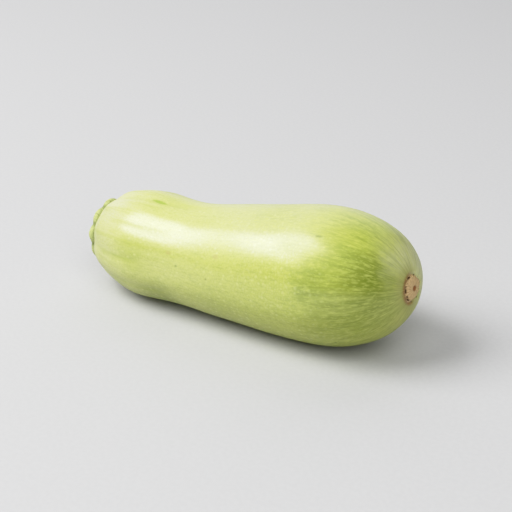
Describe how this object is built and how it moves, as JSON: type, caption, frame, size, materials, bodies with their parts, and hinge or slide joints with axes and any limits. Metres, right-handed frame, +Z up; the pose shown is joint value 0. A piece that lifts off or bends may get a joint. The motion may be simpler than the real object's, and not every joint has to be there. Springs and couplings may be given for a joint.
{
  "type": "korean zucchini",
  "caption": "Whole pale green Korean zucchini lying on its side, with a slim ribbed neck, a fat rounded end with a corky blossom scar, and a short cut stem.",
  "frame": {"origin": "on the surface that the fruit lies on, under the middle of its box", "axes": "+X along the fruit from the stem to the blossom scar, +Z up, +Y to the left of +X"},
  "size_m": [0.1762, 0.0642, 0.0639],
  "materials": {
    "skin": "satin, waxy, finely streaked and speckled pale lime green",
    "stalk": "matt, fibrous pale green with a straw-coloured cut face"
  },
  "bodies": {
    "root": {"fruit": "skin", "stem": "stalk"}
  },
  "joints": []
}
